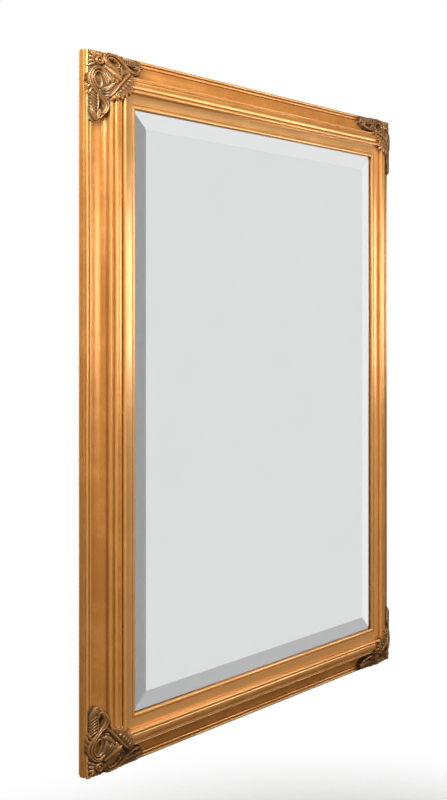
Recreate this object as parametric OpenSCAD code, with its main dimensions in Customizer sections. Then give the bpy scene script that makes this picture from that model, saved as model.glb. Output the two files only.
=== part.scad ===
// Gilt-framed bevelled mirror: mitred outer moulding, inner slip, corner ornaments,
// bevelled glass, backing board with turn buttons, and strap hangers on the back.
// The origin lies on the wall plane, midway between the points where the hooks bear.
// +X is the viewer's right, +Z is up and the glass faces -Y.

/* [Overall] */
// Height of the frame over its outer edges
frame_h = 1270; // [900:10:1700]
// Width of the frame over its outer edges
frame_w = 930; // [700:10:1400]
// Distance from the top edge down to the line where the hooks bear
hook_drop = 250; // [150:10:330]

/* [Outer moulding] */
// Height of the flat outer side, from the back plane to its top groove
side_h = 17; // [14:0.5:30]
// Width of the round bead along the outer edge
edge_bead_w = 5.6; // [4:0.2:8]
// Width of the second bead beside it
second_bead_w = 5; // [4:0.2:8]
// Width of the wide cove
cove_w = 25; // [18:0.5:40]
// Rise of the wide cove
cove_rise = 20; // [14:0.5:26]
// Width of each of the twin fine beads above the cove
fine_bead_w = 3.2; // [2.4:0.2:5]
// Width of the rounded crest
crest_w = 15; // [9:0.5:20]
// Height of the crest above the twin fine beads
crest_rise = 7.8; // [6.4:0.2:10]
// Width of the bead along the inner edge
inner_bead_w = 6.4; // [5:0.2:9]
// Width of the quirks that part one bead from the next
quirk_w = 1.4; // [1:0.1:2]
// Thickness of the moulding's lip where it covers the slip
lip_t = 4.8; // [4.2:0.1:6]
// Width of the lip that covers the slip
lip_w = 12; // [10:0.5:16]

/* [Slip] */
// Visible width of the flat slip between the moulding and the glass
slip_face_w = 26.5; // [18:0.5:40]
// Thickness of the slip
slip_t = 12.2; // [11.6:0.1:16]
// Width of the round bead at the slip's sight edge
sight_bead_w = 7.4; // [5:0.2:9]
// How far the slip covers the edge of the glass
slip_cover = 6; // [5:0.5:8]
// Gap between the slip's outer edge and the moulding's rebate
slip_gap = 0.5; // [0.3:0.1:1]

/* [Glass and back] */
// Thickness of the glass
glass_t = 6; // [5:0.5:8]
// Visible width of the bevel
bevel_w = 31.2; // [18:0.2:45]
// Drop of the bevel from the glass's face to its outer edge
bevel_drop = 4.2; // [2:0.1:4.4]
// Thickness of the silvering and its paint
coat_t = 0.3; // [0.2:0.1:0.5]
// Thickness of the backing board
board_t = 4; // [3:0.5:5]
// Gap around the glass that the packers fill
packer_t = 1; // [1:0.1:2]
// Length of a glass packer
packer_l = 40; // [20:5:60]

/* [Corner ornaments] */
// Length of an ornament along each side, from the outer corner
ornament_l = 126; // [120:2:150]
// Thickness of the casting over the moulding
ornament_t = 4; // [3:0.5:6]
// How far the leaf tips stand past the outer edges
ornament_over = 3; // [1:0.5:5]

/* [Turn buttons] */
// Reach of a turn button from its pivot
button_reach = 24; // [20:1:26]
// Width of a turn button
button_w = 12; // [10:1:16]
// Thickness of a turn button
button_t = 1.5; // [1:0.1:2]
// Gap under a turn button
button_gap = 0.3; // [0.2:0.1:0.6]
// Radius of a pivot screw's shank
pivot_r = 2; // [1.75:0.05:2.5]
// Radial clearance of a turn button on its screw
pivot_gap = 0.05; // [0.02:0.01:0.1]
// Distance of the rail buttons from the corner of the board
button_inset = 190; // [150:10:230]

/* [Hangers] */
// Thickness of the pads that rest on the wall
pad_t = 6; // [5.8:0.1:8]
// Radius of the pads
pad_r = 10; // [8:1:14]
// Distance of the pads from the top and bottom edges
pad_inset = 150; // [130:5:180]
// Radius of the ring's wire
ring_wire_r = 1.5; // [1.2:0.1:1.5]
// Radius of the ring's bow, to the middle of the wire
ring_bow_r = 11; // [10:0.5:14]
// Length of the ring's straight legs
ring_leg = 4; // [3:0.5:8]
// Radial clearance of the ring in its strap
ring_gap = 0.05; // [0.02:0.01:0.1]
// Thickness of the strap
strap_t = 1.2; // [1:0.1:1.25]
// Width of the strap
strap_w = 14; // [11:1:15]
// Length of the strap below the ring's axis
strap_l = 42; // [36:1:60]

/* [Corner plates] */
// Length of each arm of a corner plate
plate_arm = 90; // [70:5:110]
// Width of the arms
plate_w = 24; // [18:1:28]
// Thickness of the plate
plate_t = 1.5; // [1.2:0.1:2]
// Distance of the plate from the outer edges
plate_inset = 17; // [15:1:22]

/* [Screws] */
// Radius of the fixing screws' shanks
screw_r = 1.75; // [1.5:0.05:2]
// Radius of the screw heads
head_r = 3.5; // [3:0.1:4]
// Height of the screw heads
head_h = 1.6; // [1.2:0.1:2]
// Depth of the fixing screws in the wood
screw_l = 16; // [12:1:18]

/* [Hidden] */
$fn = 48;
arc_steps = 8;
eps = 0.01;

// Widths across the moulding, from its outer edge inward
cove_u = edge_bead_w + second_bead_w + 2 * quirk_w;
fine_u = cove_u + cove_w;
crest_u = fine_u + 2 * fine_bead_w + quirk_w;
inner_bead_u = crest_u + crest_w + quirk_w;
moulding_w = inner_bead_u + inner_bead_w;
rebate_u = moulding_w - lip_w;
sight_u = moulding_w + slip_face_w;
slip_rebate_u = sight_u - slip_cover;
glass_u = slip_rebate_u + packer_t;

// Heights above the back plane
edge_bead_r = edge_bead_w / 2;
second_bead_r = second_bead_w / 2;
edge_v = side_h + edge_bead_r + quirk_w;
cove_v = edge_v + 1;
fine_v = cove_v + cove_rise;
crest_v = fine_v + crest_rise;
inner_bead_r = inner_bead_w / 2;
inner_bead_v = crest_v + 0.6;
lip_v = crest_v - lip_t;
slip_back_v = lip_v - slip_t;
glass_back_v = slip_back_v + board_t + coat_t;
glass_front_v = glass_back_v + glass_t;
bevel_run = bevel_w + sight_u - glass_u;
bevel_at_sight = bevel_drop * bevel_w / bevel_run;
slip_under_v = glass_front_v - bevel_at_sight + 0.05;
sight_bead_r = sight_bead_w / 2;
ornament_in = moulding_w + 8;
ornament_v = crest_v + ornament_t + 12;

// Hanger places, in the part's own frame: each hanger sits at the middle of its stile's back
hanger_span = frame_w - rebate_u;
loop_r = ring_wire_r + ring_gap;
strap_loop_r = loop_r + strap_t;
ring_z = -(ring_leg + ring_bow_r - ring_wire_r);
ring_y = -pad_t + strap_loop_r;
button_v = slip_back_v - button_gap;
button_u = rebate_u + slip_gap + 16;

gold = [0.80, 0.60, 0.32];
slip_gold = [0.86, 0.68, 0.40];
steel = [0.62, 0.62, 0.60];

function arc_points(u, v, ru, rv, a0, a1) =
    [for (i = [0:arc_steps]) let (a = a0 + (a1 - a0) * i / arc_steps) [u + ru * cos(a), v + rv * sin(a)]];

// Section of the outer moulding: u runs inward from the outer edge, v forward from the back plane
function moulding_points() = concat(
    [[2, 0], [2, 3], [0, 4.5], [0, side_h - 4.5]],
    arc_points(0.8, side_h - 3, 0.8, 1.4, -90, -270),
    [[2.4, side_h - 1], [2.4, side_h + 0.4]],
    arc_points(edge_bead_r, edge_v, edge_bead_r, edge_bead_r, 215, 0),
    arc_points(edge_bead_w + quirk_w + second_bead_r, edge_v, second_bead_r, second_bead_r + 0.6, 180, 0),
    [[cove_u - quirk_w + 0.3, edge_v + 0.2]],
    [for (i = [0:arc_steps * 2]) let (a = 90 * i / (arc_steps * 2))
        [cove_u + cove_w * sin(a), cove_v + cove_rise * (1 - cos(a))]],
    arc_points(fine_u + fine_bead_w / 2, fine_v, fine_bead_w / 2, fine_bead_w / 2, 180, 20),
    arc_points(fine_u + fine_bead_w * 1.5, fine_v + 0.4, fine_bead_w / 2, fine_bead_w / 2, 160, 0),
    [[crest_u - 0.5, fine_v + 0.6]],
    arc_points(crest_u + crest_w / 2, crest_v - 3.2, crest_w / 2, 3.2, 180, 0),
    [[crest_u + crest_w + quirk_w * 0.5, crest_v - 3.4]],
    arc_points(inner_bead_u + inner_bead_r, inner_bead_v, inner_bead_r, inner_bead_r, 190, 0),
    [[moulding_w, lip_v], [rebate_u, lip_v], [rebate_u, 0]]
);

// Section of the slip in the same axes
function slip_points() = concat(
    [[rebate_u + slip_gap, slip_back_v], [rebate_u + slip_gap, lip_v],
     [sight_u - sight_bead_w - 1, lip_v], [sight_u - sight_bead_w - 0.8, lip_v - 0.9],
     [sight_u - sight_bead_w, lip_v - 0.9]],
    arc_points(sight_u - sight_bead_r, lip_v - 2.4, sight_bead_r, 3.3, 150, 0),
    [[sight_u, slip_under_v], [slip_rebate_u, slip_under_v], [slip_rebate_u, slip_back_v]]
);

// Puts face coordinates (x right, y up, z toward the viewer) on the wall
module placed() {
    translate([0, -pad_t, hook_drop - frame_h / 2]) rotate([90, 0, 0]) children();
}

// One side of the frame: 0 bottom, 1 right, 2 top, 3 left. Its children run along +X from the
// outer corner, with +Y inward
module on_side(k) {
    side_l = k % 2 == 0 ? frame_w : frame_h;
    across = k % 2 == 0 ? frame_h : frame_w;
    placed() rotate([0, 0, 90 * k]) translate([-side_l / 2, -across / 2, 0]) children();
}

// A corner of the frame: 0 bottom left, 1 bottom right, 2 top right, 3 top left. Its children
// have both axes inward along the two sides that meet there
module on_corner(k) {
    flip_x = k == 1 || k == 2 ? 1 : 0;
    flip_y = k >= 2 ? 1 : 0;
    placed() translate([(flip_x - 0.5) * frame_w, (flip_y - 0.5) * frame_h, 0])
        mirror([flip_x, 0, 0]) mirror([0, flip_y, 0]) children();
}

// A bar of a section, mitred at both ends
module mitred_bar(side_l, section, wide, tall) {
    intersection() {
        rotate([90, 0, 90]) linear_extrude(side_l) polygon(section);
        translate([0, 0, -eps]) linear_extrude(tall + 2 * eps)
            polygon([[0, 0], [side_l, 0], [side_l - wide, wide], [wide, wide]]);
    }
}

function side_length(k) = k % 2 == 0 ? frame_w : frame_h;

// Where the screws that hold the slip stand along a side
function slip_screw_places(k) = k % 2 == 0
    ? [side_length(k) * 0.3, side_length(k) * 0.7]
    : [side_length(k) * 0.2, side_length(k) * 0.5, side_length(k) * 0.8];
slip_screw_u = rebate_u + slip_gap + head_r + 0.6;
slip_screw_tip_v = lip_v + lip_t * 0.5;

// Where the turn buttons pivot along a side
function button_places(k) = [glass_u + button_inset, side_length(k) - glass_u - button_inset];

// Screw along +Z with its head below z = 0
module screw(radius, length) {
    cylinder(r = radius, h = length);
    difference() {
        translate([0, 0, -head_h]) cylinder(r1 = head_r * 0.72, r2 = head_r, h = head_h);
        translate([-head_r * 0.55, -0.45, -head_h - eps]) cube([head_r * 1.1, 0.9, head_h * 0.5]);
        translate([-0.45, -head_r * 0.55, -head_h - eps]) cube([0.9, head_r * 1.1, head_h * 0.5]);
    }
}

// Places along the diagonal of a corner where the mitre keys sit
key_places = [9, rebate_u - 8];
key_size = 8;
key_depth = 12;
key_proud = 0.2;

// V-shaped key across the mitre
module mitre_key() {
    linear_extrude(key_depth) difference() {
        polygon([[0, 0], [key_size, key_size * 0.35], [key_size * 0.35, key_size]]);
        polygon([[1.6, 1.6], [key_size + 1.6, key_size * 0.35 + 1.4], [key_size * 0.35 + 1.4, key_size + 1.6]]);
    }
}

module corner_keys() {
    for (place = key_places) translate([place - key_size / 2, place - key_size / 2, -key_proud]) mitre_key();
}

// Centres of the screws in one corner plate
plate_screw_places = [plate_w * 0.5, plate_arm * 0.52, plate_arm - 9];
function plate_holes() = [for (i = [0:2]) for (swap = [0:(i == 0 ? 0 : 1)])
    swap == 0 ? [plate_inset + plate_screw_places[i], plate_inset + plate_w / 2]
              : [plate_inset + plate_w / 2, plate_inset + plate_screw_places[i]]];

// Screws in a strap, as distances below the ring's axis
strap_screw_places = [strap_loop_r + head_r + 3.6, strap_l - head_r - 2.5];

// Puts children at a hanger: 0 left, 1 right
module on_hanger(k) {
    translate([(k - 0.5) * hanger_span, ring_y, ring_z]) children();
}

// Holes of everything that is driven into the wood from behind
module back_holes() {
    for (k = [0:3]) on_corner(k) {
        corner_keys();
        for (p = plate_holes()) translate([p[0], p[1], -eps]) cylinder(r = screw_r, h = screw_l + eps - plate_t);
    }
    for (k = [0:1], drop = strap_screw_places)
        on_hanger(k) translate([0, -strap_loop_r, -drop]) rotate([90, 0, 0]) translate([0, 0, -eps])
            cylinder(r = screw_r, h = screw_l - strap_t + eps);
}

module moulding_side(k) {
    color(gold) difference() {
        on_side(k) mitred_bar(side_length(k), moulding_points(), moulding_w, ornament_v);
        back_holes();
        on_side(k) for (x = slip_screw_places(k))
            translate([x, slip_screw_u, lip_v - 1]) cylinder(r = screw_r, h = slip_screw_tip_v - lip_v + 1);
    }
}

module slip_side(k) {
    color(slip_gold) difference() {
        on_side(k) mitred_bar(side_length(k), slip_points(), sight_u, ornament_v);
        on_side(k) {
            for (x = slip_screw_places(k))
                translate([x, slip_screw_u, slip_back_v - eps]) cylinder(r = screw_r, h = slip_t + 2 * eps);
            for (x = button_places(k))
                translate([x, button_u, slip_back_v - eps]) cylinder(r = pivot_r, h = slip_t - 3);
        }
    }
}

// Section of the casting's ground: it bridges the cove between the edge beads and the crest
ground_section = [
    [-ornament_over, side_h], [-ornament_over, edge_v + ornament_t], [cove_u, edge_v + 2 * ornament_t],
    [fine_u, fine_v + ornament_t], [inner_bead_u, crest_v + ornament_t], [ornament_in, crest_v + ornament_t],
    [ornament_in, side_h]
];

// Height of the ground at a distance from the outer edge
function ground_v(u) = lookup(u, [for (point = ground_section) if (point[1] > side_h) point]);

// Plan of a corner ornament: both axes run inward from the outer corner
module ornament_plan() {
    translate([-ornament_over, -ornament_over]) square([60, 60]);
    translate([56, 56]) circle(r = 24);
    for (swap = [0:1]) mirror([swap, -swap, 0]) {
        translate([-ornament_over, 50]) square([34, ornament_l - 66]);
        translate([14, ornament_l - 16]) circle(r = 16);
        translate([48, 66]) circle(r = 20);
    }
}

// Leaf lobe: a row of swellings from one place on the ground to another
module lobe(from, to, radius) {
    swellings = 3;
    for (i = [0:swellings - 1]) {
        place = from + (to - from) * i / (swellings - 1);
        translate(concat(place, ground_v(min(place)))) sphere(r = radius);
    }
}

// Scroll: a ring that lies on the ground
module scroll(centre, radius, wire) {
    translate(concat(centre, ground_v(min(centre)))) rotate_extrude() translate([radius, 0]) circle(r = wire);
}

// Raised work on a corner ornament: rosette, shell lobes, scrolls, leaf legs and the tuft inside the crest
module ornament_relief() {
    rosette = [19.5, 19.5];
    scroll(rosette, 6, 2.4);
    lobe([12, 12], [5, 5], 3.4);
    lobe([32, 32], [50, 50], 5.5);
    lobe([58, 58], [68, 68], 5);
    for (swap = [0:1]) mirror([swap, -swap, 0]) {
        lobe([28, 34], [33, 52], 3.4);
        scroll([19, 50], 15, 3.2);
        scroll([21, 98], 9.5, 2.8);
        lobe([10, 84], [10, ornament_l - 10], 6);
        lobe([38, 76], [52, 60], 3);
        lobe([52, 68], [60, 80], 4.4);
    }
}

// Solid of the moulding around one corner
module corner_moulding() {
    reach = ornament_l + 20;
    for (swap = [0:1]) mirror([swap, -swap, 0]) intersection() {
        rotate([90, 0, 90]) linear_extrude(reach) polygon(moulding_points());
        translate([0, 0, -eps]) linear_extrude(ornament_v + 2 * eps) polygon([[0, 0], [reach, 0], [reach, reach]]);
    }
}

// Solid of the ground around one corner, before its outline is cut
module corner_ground() {
    for (swap = [0:1]) mirror([swap, -swap, 0]) intersection() {
        translate([-ornament_over, 0, 0]) rotate([90, 0, 90]) linear_extrude(ornament_l + 20) polygon(ground_section);
        translate([-ornament_over, -ornament_over, 0]) linear_extrude(ornament_v)
            polygon([[0, 0], [ornament_l + 20, 0], [ornament_l + 20, ornament_l + 20]]);
    }
}

module ornament(k) {
    color(gold) on_corner(k) difference() {
        union() {
            intersection() {
                translate([0, 0, side_h]) linear_extrude(ornament_v) ornament_plan();
                corner_ground();
            }
            ornament_relief();
        }
        corner_moulding();
        translate([-20, -20, -20]) cube([ornament_l + 40, ornament_l + 40, side_h + 20]);
        translate([rebate_u, rebate_u, -eps]) cube([ornament_l, ornament_l, lip_v + 2 * eps]);
    }
}

// Half sizes of the glass
glass_half_w = frame_w / 2 - glass_u;
glass_half_h = frame_h / 2 - glass_u;

// The glass is a slab with its front edges cut away along the bevel
module glass() {
    color([0.80, 0.86, 0.86, 0.5]) placed() difference() {
        translate([-glass_half_w, -glass_half_h, glass_back_v]) cube([2 * glass_half_w, 2 * glass_half_h, glass_t]);
        for (k = [0:3]) {
            half = k % 2 == 0 ? glass_half_h : glass_half_w;
            long = k % 2 == 0 ? glass_half_w : glass_half_h;
            rotate([0, 0, 90 * k]) translate([-long - 1, -half, glass_front_v]) rotate([90, 0, 90])
                linear_extrude(2 * long + 2)
                    polygon([[-1, -bevel_drop * (1 + 1 / bevel_run)], [bevel_run, 0], [bevel_run, 1], [-1, 1]]);
        }
    }
}

module silvering() {
    color([0.75, 0.77, 0.78]) placed() translate([-glass_half_w, -glass_half_h, glass_back_v - coat_t])
        cube([2 * glass_half_w, 2 * glass_half_h, coat_t]);
}

module backing_board() {
    color([0.55, 0.40, 0.25]) placed() translate([-glass_half_w, -glass_half_h, slip_back_v])
        cube([2 * glass_half_w, 2 * glass_half_h, board_t]);
}

module glass_packers() {
    packer_h = slip_under_v - slip_back_v - 0.5;
    color([0.25, 0.25, 0.25]) for (k = [0:3]) on_side(k)
        for (x = [side_length(k) * 0.25, side_length(k) * 0.75])
            translate([x - packer_l / 2, slip_rebate_u, slip_back_v + 0.2]) cube([packer_l, packer_t, packer_h]);
}

module slip_screws() {
    color(steel) for (k = [0:3]) on_side(k) for (x = slip_screw_places(k))
        translate([x, slip_screw_u, slip_back_v]) screw(screw_r, slip_screw_tip_v - slip_back_v);
}

// Flat button that turns on its screw and covers the edge of the board
module turn_button(k, which) {
    color(steel) on_side(k) translate([button_places(k)[which], button_u, button_v - button_t]) difference() {
        union() {
            cylinder(r = button_w / 2, h = button_t);
            translate([-button_w / 2, 0, 0]) cube([button_w, button_reach - button_w / 2, button_t]);
            translate([0, button_reach - button_w / 2, 0]) cylinder(r = button_w / 2, h = button_t);
        }
        translate([0, 0, -eps]) cylinder(r = pivot_r + pivot_gap, h = button_t + 2 * eps);
    }
}

module turn_button_screws() {
    standoff = button_gap + button_t + button_gap;
    color(steel) for (k = [0:3]) on_side(k) for (x = button_places(k))
        translate([x, button_u, slip_back_v - standoff]) screw(pivot_r, slip_t - 3 - eps + standoff);
}

module corner_plates() {
    color(steel) for (k = [0:3]) on_corner(k) difference() {
        translate([plate_inset, plate_inset, -plate_t]) union() {
            cube([plate_arm, plate_w, plate_t]);
            cube([plate_w, plate_arm, plate_t]);
        }
        for (p = plate_holes()) translate([p[0], p[1], -plate_t - eps]) cylinder(r = screw_r, h = plate_t + 2 * eps);
    }
}

module corner_plate_screws() {
    color(steel) for (k = [0:3]) on_corner(k) for (p = plate_holes())
        translate([p[0], p[1], -plate_t]) screw(screw_r, screw_l);
}

module mitre_keys() {
    color(steel) for (k = [0:3]) on_corner(k) corner_keys();
}

// Strap folded round the ring's bar, with a flat tail screwed to the stile
module strap(k) {
    color(steel) on_hanger(k) difference() {
        union() {
            translate([-strap_w / 2, 0, 0]) rotate([0, 90, 0]) cylinder(r = strap_loop_r, h = strap_w);
            translate([-strap_w / 2, -strap_loop_r, -strap_l]) cube([strap_w, strap_t, strap_l]);
        }
        translate([-strap_w / 2 - eps, 0, 0]) rotate([0, 90, 0]) cylinder(r = loop_r, h = strap_w + 2 * eps);
        for (drop = strap_screw_places)
            translate([0, -strap_loop_r - eps, -drop]) rotate([-90, 0, 0]) cylinder(r = screw_r, h = strap_t + 2 * eps);
    }
}

module strap_screws() {
    color(steel) for (k = [0:1], drop = strap_screw_places)
        on_hanger(k) translate([0, -strap_loop_r + strap_t, -drop]) rotate([90, 0, 0]) screw(screw_r, screw_l);
}

// D-shaped ring whose straight bar turns in the strap
module ring(k) {
    color(steel) on_hanger(k) {
        translate([-ring_bow_r, 0, 0]) rotate([0, 90, 0]) cylinder(r = ring_wire_r, h = 2 * ring_bow_r);
        for (side = [-1, 1]) {
            translate([side * ring_bow_r, 0, 0]) sphere(r = ring_wire_r);
            translate([side * ring_bow_r, 0, 0]) cylinder(r = ring_wire_r, h = ring_leg);
        }
        translate([0, 0, ring_leg]) rotate([90, 0, 0]) rotate_extrude(angle = 180)
            translate([ring_bow_r, 0]) circle(r = ring_wire_r);
    }
}

module wall_pads() {
    color([0.2, 0.18, 0.16]) for (k = [0:3]) on_corner(k)
        translate([rebate_u / 2, pad_inset, -pad_t]) cylinder(r = pad_r, h = pad_t);
}

moulding_side(0);  // rail_bottom
moulding_side(1);  // stile_right
moulding_side(2);  // rail_top
moulding_side(3);  // stile_left
slip_side(0);  // slip_bottom
slip_side(1);  // slip_right
slip_side(2);  // slip_top
slip_side(3);  // slip_left
ornament(0);  // ornament_bottom_left
ornament(1);  // ornament_bottom_right
ornament(2);  // ornament_top_right
ornament(3);  // ornament_top_left
glass();
silvering();
glass_packers();
backing_board();
slip_screws();
turn_button(0, 0);  // turn_button_bottom_1
turn_button(0, 1);  // turn_button_bottom_2
turn_button(1, 0);  // turn_button_right_1
turn_button(1, 1);  // turn_button_right_2
turn_button(2, 0);  // turn_button_top_1
turn_button(2, 1);  // turn_button_top_2
turn_button(3, 0);  // turn_button_left_1
turn_button(3, 1);  // turn_button_left_2
turn_button_screws();
corner_plates();
corner_plate_screws();
mitre_keys();
strap(0);  // strap_left
strap(1);  // strap_right
strap_screws();
ring(0);  // ring_left
ring(1);  // ring_right
wall_pads();
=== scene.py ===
# %% [markdown]
# A gilt-framed bevelled mirror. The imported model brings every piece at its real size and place. This script keeps the
# flat and turned hardware from it, replaces the mouldings, the slip, the corner castings, the plate and its silver
# with finer pieces of the same size, and gives every surface its finish. Everything is in metres: +X to the viewer's
# right, +Z up, and the glass faces -Y.

import math

import bmesh
import bpy
import numpy as np
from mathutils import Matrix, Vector


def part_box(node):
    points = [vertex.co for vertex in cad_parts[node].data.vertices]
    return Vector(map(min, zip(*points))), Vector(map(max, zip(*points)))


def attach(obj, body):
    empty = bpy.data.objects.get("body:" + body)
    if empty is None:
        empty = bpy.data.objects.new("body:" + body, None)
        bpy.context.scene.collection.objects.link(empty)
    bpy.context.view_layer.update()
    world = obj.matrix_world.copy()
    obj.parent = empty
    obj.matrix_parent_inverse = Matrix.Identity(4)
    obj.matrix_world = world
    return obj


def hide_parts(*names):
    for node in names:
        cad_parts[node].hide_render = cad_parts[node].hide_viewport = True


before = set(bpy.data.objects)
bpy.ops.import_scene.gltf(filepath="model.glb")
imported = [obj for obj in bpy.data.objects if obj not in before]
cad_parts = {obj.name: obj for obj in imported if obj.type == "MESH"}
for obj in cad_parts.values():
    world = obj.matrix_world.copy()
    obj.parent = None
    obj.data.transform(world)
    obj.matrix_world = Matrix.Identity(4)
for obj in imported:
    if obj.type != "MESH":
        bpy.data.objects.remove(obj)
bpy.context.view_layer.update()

# %% [markdown]
# Every place is measured from the outer moulding. A section is drawn in millimetres as (u, v): u runs inward from the
# outer edge of the frame and v runs forward from its back plane. These two are the easiest numbers to read off a
# moulding with a rule, and one function puts any such point on any of the four sides.

# %% Sizes of the frame
MM = 0.001
SLIP_W = 26.5
rail_low, rail_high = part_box("rail_top")
stile_low, stile_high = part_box("stile_left")
LEFT, RIGHT = rail_low[0], rail_high[0]
BOTTOM, TOP = stile_low[2], stile_high[2]
BACK = stile_high[1]
MOULDING_W = (rail_high[2] - rail_low[2]) / MM
FRAME_W = (RIGHT - LEFT) / MM
FRAME_H = (TOP - BOTTOM) / MM
SIGHT_U = MOULDING_W + SLIP_W
SIDES = ("rail_bottom", "stile_right", "rail_top", "stile_left")
SLIPS = ("slip_bottom", "slip_right", "slip_top", "slip_left")
CORNERS = ("ornament_bottom_left", "ornament_bottom_right", "ornament_top_right", "ornament_top_left")
print("frame %.0f x %.0f mm, moulding %.1f mm wide" % (FRAME_W, FRAME_H, MOULDING_W))


def on_side(k, along, u, v):
    """A point on side k (0 bottom, 1 right, 2 top, 3 left), in millimetres from its outer corner."""
    y = BACK - v * MM
    if k == 0:
        return Vector((LEFT + along * MM, y, BOTTOM + u * MM))
    if k == 1:
        return Vector((RIGHT - u * MM, y, BOTTOM + along * MM))
    if k == 2:
        return Vector((RIGHT - along * MM, y, TOP - u * MM))
    return Vector((LEFT + u * MM, y, TOP - along * MM))


# %% [markdown]
# An operator acts on all that is selected, and the loaded pieces arrive selected. So each new piece starts from an
# empty selection, gets its name at once, and ends with its place applied to its mesh, as the loaded pieces have.

# %% Selection helpers
def start_fresh():
    """Leaves nothing selected, so that an operator touches only what comes next."""
    if bpy.context.mode != "OBJECT":
        bpy.ops.object.mode_set(mode="OBJECT")
    bpy.ops.object.select_all(action="DESELECT")


def name_piece(name):
    piece = bpy.context.object
    piece.name = name
    piece.data.name = name
    return piece


def apply_place():
    bpy.ops.object.transform_apply(location=True, rotation=True, scale=True)


start_fresh()
print("selected at the start:", len(bpy.context.selected_objects))


# %% [markdown]
# The outer moulding is one section run round all four sides: a grooved flat edge, two beads, a wide cove, twin fine
# beads, a rounded crest and a last bead next to the slip. A real length is run past a shaped cutter, so drawing the
# section once and extruding it is how the real piece is made too.

# %% The section of the outer moulding
def arc(u, v, ru, rv, start, end, steps=14):
    """Points on an elliptical arc, in degrees."""
    angles = [math.radians(start + (end - start) * i / steps) for i in range(steps + 1)]
    return [(u + ru * math.cos(a), v + rv * math.sin(a)) for a in angles]


FRONT_V = 17.4
EDGE_V = 21.2
COVE_U, COVE_V = 13.4, 22.2
FINE_U, FINE_V = 38.4, 42.2
CREST_U, CREST_V, CREST_W = 46.2, 50.0, 15.0
LIP_V = 45.2
INNER_R = 3.2
REBATE_U = MOULDING_W - 12


def moulding_section():
    points = [(2, 0), (2, 3), (0, 4.5), (0, 12.5)]
    points += arc(0.8, 14, 0.8, 1.4, -90, -270, 8)
    points += [(2.4, 16), (2.4, FRONT_V)]
    points += arc(2.8, EDGE_V, 2.8, 2.8, 215, 0)
    points += arc(9.5, EDGE_V, 2.5, 3.1, 180, 0)
    points += [(12.3, EDGE_V + 0.2)]
    points += [(COVE_U + (FINE_U - COVE_U) * math.sin(a), COVE_V + (FINE_V - COVE_V) * (1 - math.cos(a)))
               for a in [math.radians(90 * i / 28) for i in range(29)]]
    points += arc(FINE_U + 1.6, FINE_V, 1.6, 1.6, 180, 20, 10)
    points += arc(FINE_U + 4.8, FINE_V + 0.4, 1.6, 1.6, 160, 0, 10)
    points += [(CREST_U - 0.5, FINE_V + 0.6)]
    points += arc(CREST_U + CREST_W / 2, CREST_V - 3.2, CREST_W / 2, 3.2, 180, 0, 20)
    points += [(CREST_U + CREST_W + 0.7, CREST_V - 3.4)]
    points += arc(MOULDING_W - INNER_R, CREST_V + 0.6, INNER_R, INNER_R, 190, 0)
    points += [(MOULDING_W, LIP_V), (REBATE_U, LIP_V), (REBATE_U, 0)]
    return points


SLIP_BACK_V, LEDGE_V, LEDGE_W = 33, 39.75, 6
SIGHT_BEAD = 7.4


def slip_section():
    quirk = SIGHT_U - SIGHT_BEAD
    points = [(REBATE_U + 0.5, SLIP_BACK_V), (REBATE_U + 0.5, LIP_V - 0.02), (quirk - 1, LIP_V - 0.02)]
    points += [(quirk - 0.8, LIP_V - 0.9), (quirk, LIP_V - 0.9)]
    points += arc(SIGHT_U - SIGHT_BEAD / 2, LIP_V - 2.4, SIGHT_BEAD / 2, 3.3, 150, 0)
    points += [(SIGHT_U, LEDGE_V), (SIGHT_U - LEDGE_W, LEDGE_V), (SIGHT_U - LEDGE_W, SLIP_BACK_V)]
    return points


print("moulding section:", len(moulding_section()), "points; slip:", len(slip_section()))


# %% [markdown]
# Gold leaf wears off the ridges, and dirt and toning gather in the quirks, which the finish darkens further with
# painted shade. The finish needs to know which is which, so each section point gets a hollow value: 0.5 on a plain
# face, towards 1 down in a groove and towards 0 on a ridge. It is the height of the surface against its own average
# over a few millimetres, which is how a finger would feel it.

# %% Hollows along a section
PLAIN = 0.5


def hollows(points, reach=3.0, gain=0.35):
    """How deep each point lies below the average of the surface around it."""
    p = np.array(points, dtype=float)
    front = (p[:, 1] > FRONT_V) & (p[:, 0] > 0.1)
    order = np.argsort(p[front, 0], kind="stable")
    values = np.full(len(p), PLAIN)
    for i in np.flatnonzero(front):
        around = np.linspace(p[i, 0] - reach, p[i, 0] + reach, 25)
        level = np.interp(around, p[front, 0][order], p[front, 1][order]).mean()
        values[i] = np.clip(PLAIN + (level - p[i, 1]) * gain, 0, 1)
    return values


def store(piece, name, values):
    layer = piece.data.attributes.get(name) or piece.data.attributes.new(name, "FLOAT", "POINT")
    layer.data.foreach_set("value", np.asarray(values, dtype=np.float32))


print("hollow values, moulding: %.2f to %.2f" % (hollows(moulding_section()).min(), hollows(moulding_section()).max()))


# %% [markdown]
# To run a length, a circle with one corner per section point is added and its corners are moved onto the section.
# Extruding it in edit mode makes the bar, and two bisect cuts at 45 degrees, with their faces filled, are the mitres.
# The distance round the section is stored first, so that the cuts carry it to their new corners for the UV map.

# %% Run one mitred length
MOULDING_CREASE = math.radians(50)


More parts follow.
